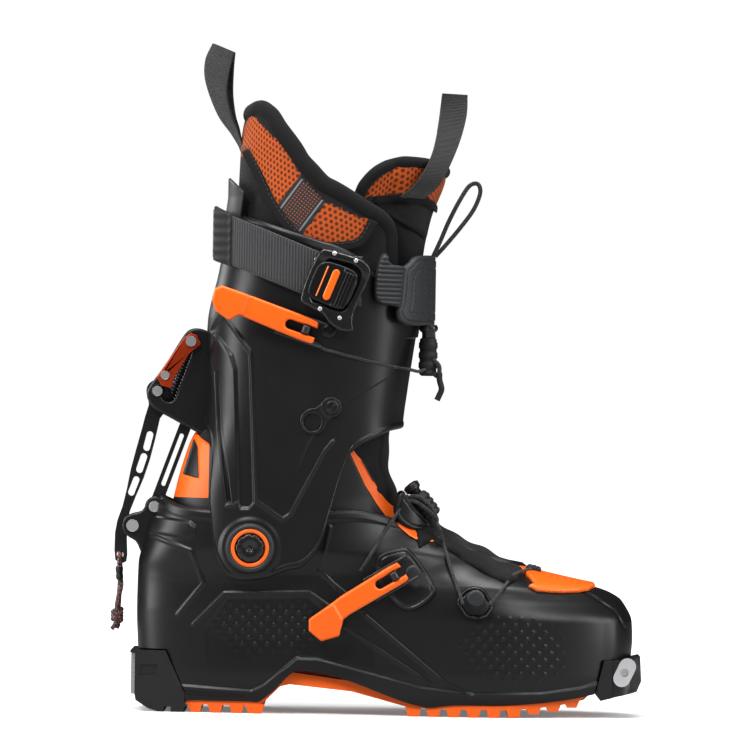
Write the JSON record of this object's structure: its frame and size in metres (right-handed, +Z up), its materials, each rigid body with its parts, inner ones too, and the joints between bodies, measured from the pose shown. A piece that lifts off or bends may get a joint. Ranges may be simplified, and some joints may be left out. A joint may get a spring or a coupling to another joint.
{
  "type": "alpine touring boot",
  "caption": "Alpine touring ski boot with a hinged cuff, rear walk lever, fork-lever buckles, power strap, padded liner and lugged sole with steel binding sockets.",
  "frame": {"origin": "on the ground plane, directly under the ankle pivot axis, on the boot's centre plane; the underside of a heel lug lies there", "axes": "+X towards the toe, +Z up, -Y the lateral (outer) side, where the buckles are"},
  "size_m": [0.3108, 0.1213, 0.391],
  "materials": {
    "shell_black": "satin, finely textured",
    "orange_plastic": "semi-gloss",
    "outsole_rubber": "matt",
    "black_rubber": "matt",
    "liner_fabric": "soft matt",
    "gaiter_fabric": "stretch weave",
    "webbing": "ribbed weave",
    "board_plastic": "matt",
    "footbed_foam": "felt",
    "steel": "satin",
    "rivet_alloy": "satin",
    "link_alloy": "anodised",
    "cord": "braided"
  },
  "bodies": {
    "clog": {"lower_shell": "shell_black", "outsole": "outsole_rubber", "toe_sole_block": "black_rubber", "toe_tech_insert": "steel", "heel_sole_block": "black_rubber", "heel_tech_insert": "steel", "heel_insert_screw": "steel", "boot_board": "board_plastic", "footbed": "footbed_foam", "liner_foot": "liner_fabric", "liner_flex": "liner_fabric", "shell_collar": "orange_plastic", "instep_gaiter": "gaiter_fabric", "toe_gaiter_trim": "orange_plastic", "instep_buckle_base": "shell_black", "instep_buckle_pin": "steel", "instep_cable": "steel", "cable_guide": "shell_black", "cable_guide_rivet": "rivet_alloy", "toe_cord_anchor": "board_plastic", "instep_lock_body": "shell_black", "ankle_bolts": "shell_black", "latch_pin": "steel", "strut_pin": "steel"},
    "cuff": {"cuff_shell": "shell_black", "pivot_rings": "orange_plastic", "rear_spoiler": "shell_black", "liner_upper": "liner_fabric", "liner_tongue": "liner_fabric", "rear_pull_loop": "webbing", "front_pull_loop": "webbing", "power_strap": "webbing", "strap_keeper": "webbing", "strap_frame": "shell_black", "strap_rivets": "steel", "strap_pad": "shell_black", "cuff_buckle_base": "shell_black", "cuff_buckle_pin": "steel", "cuff_cable": "steel", "front_lock_body": "shell_black", "dring_tab": "shell_black", "link_plate": "link_alloy", "lever_bolts": "steel", "lever_spring": "steel"},
    "walk_lever_body": {"walk_lever": "shell_black"},
    "strut_body": {"lean_strut": "shell_black"},
    "cuff_lever_body": {"cuff_lever": "orange_plastic"},
    "instep_lever_body": {"instep_lever": "orange_plastic"},
    "cam_body": {"cam_lever": "shell_black"},
    "instep_button_body": {"instep_lock_button": "board_plastic"},
    "front_button_body": {"front_lock_button": "board_plastic"},
    "cord_body": {"pull_cord": "cord"}
  },
  "joints": [
    {"name": "cuff_lean", "type": "hinge", "parent": "clog", "child": "cuff", "pos_m": [0, 0, 0.0963], "axis": [0, 1, 0], "range_deg": [-12, 20], "deforming": ["liner_flex", "shell_collar"]},
    {"name": "walk_lever_flip", "type": "hinge", "parent": "cuff", "child": "walk_lever_body", "pos_m": [-0.0562, 0, 0.1862], "axis": [0, 1, 0], "range_deg": [0, 110], "deforming": ["lever_spring"]},
    {"name": "strut_swing", "type": "hinge", "parent": "clog", "child": "strut_body", "pos_m": [-0.057, 0, 0.1187], "axis": [0, 1, 0], "range_deg": [-12, 20]},
    {"name": "cuff_lever_open", "type": "hinge", "parent": "cuff", "child": "cuff_lever_body", "pos_m": [0.0335, -0.0584, 0.222], "axis": [0.309, 0, 0.9511], "range_deg": [0, 100]},
    {"name": "instep_lever_open", "type": "hinge", "parent": "clog", "child": "instep_lever_body", "pos_m": [0.0866, -0.0518, 0.0832], "axis": [-0.515, 0, 0.8572], "range_deg": [0, 100]},
    {"name": "cam_lever_open", "type": "hinge", "parent": "cuff", "child": "cam_body", "pos_m": [0.0385, -0.062, 0.2515], "axis": [-0.3697, 0, -0.9291], "range_deg": [0, 80]},
    {"name": "instep_lock_press", "type": "slide", "parent": "clog", "child": "instep_button_body", "axis": [0.6157, 0, -0.788], "range_m": [0, 0.003]},
    {"name": "front_lock_press", "type": "slide", "parent": "cuff", "child": "front_button_body", "axis": [0, 0, -1], "range_m": [0, 0.003]},
    {"name": "pull_cord_swing", "type": "hinge", "parent": "walk_lever_body", "child": "cord_body", "pos_m": [-0.077, 0, 0.09], "axis": [0, 1, 0], "range_deg": [-20, 12]}
  ],
  "couplings": [
    {"joint": "strut_swing", "follows": "cuff_lean", "ratio": 0.95},
    {"joint": "pull_cord_swing", "follows": "cuff_lean", "ratio": -1}
  ]
}
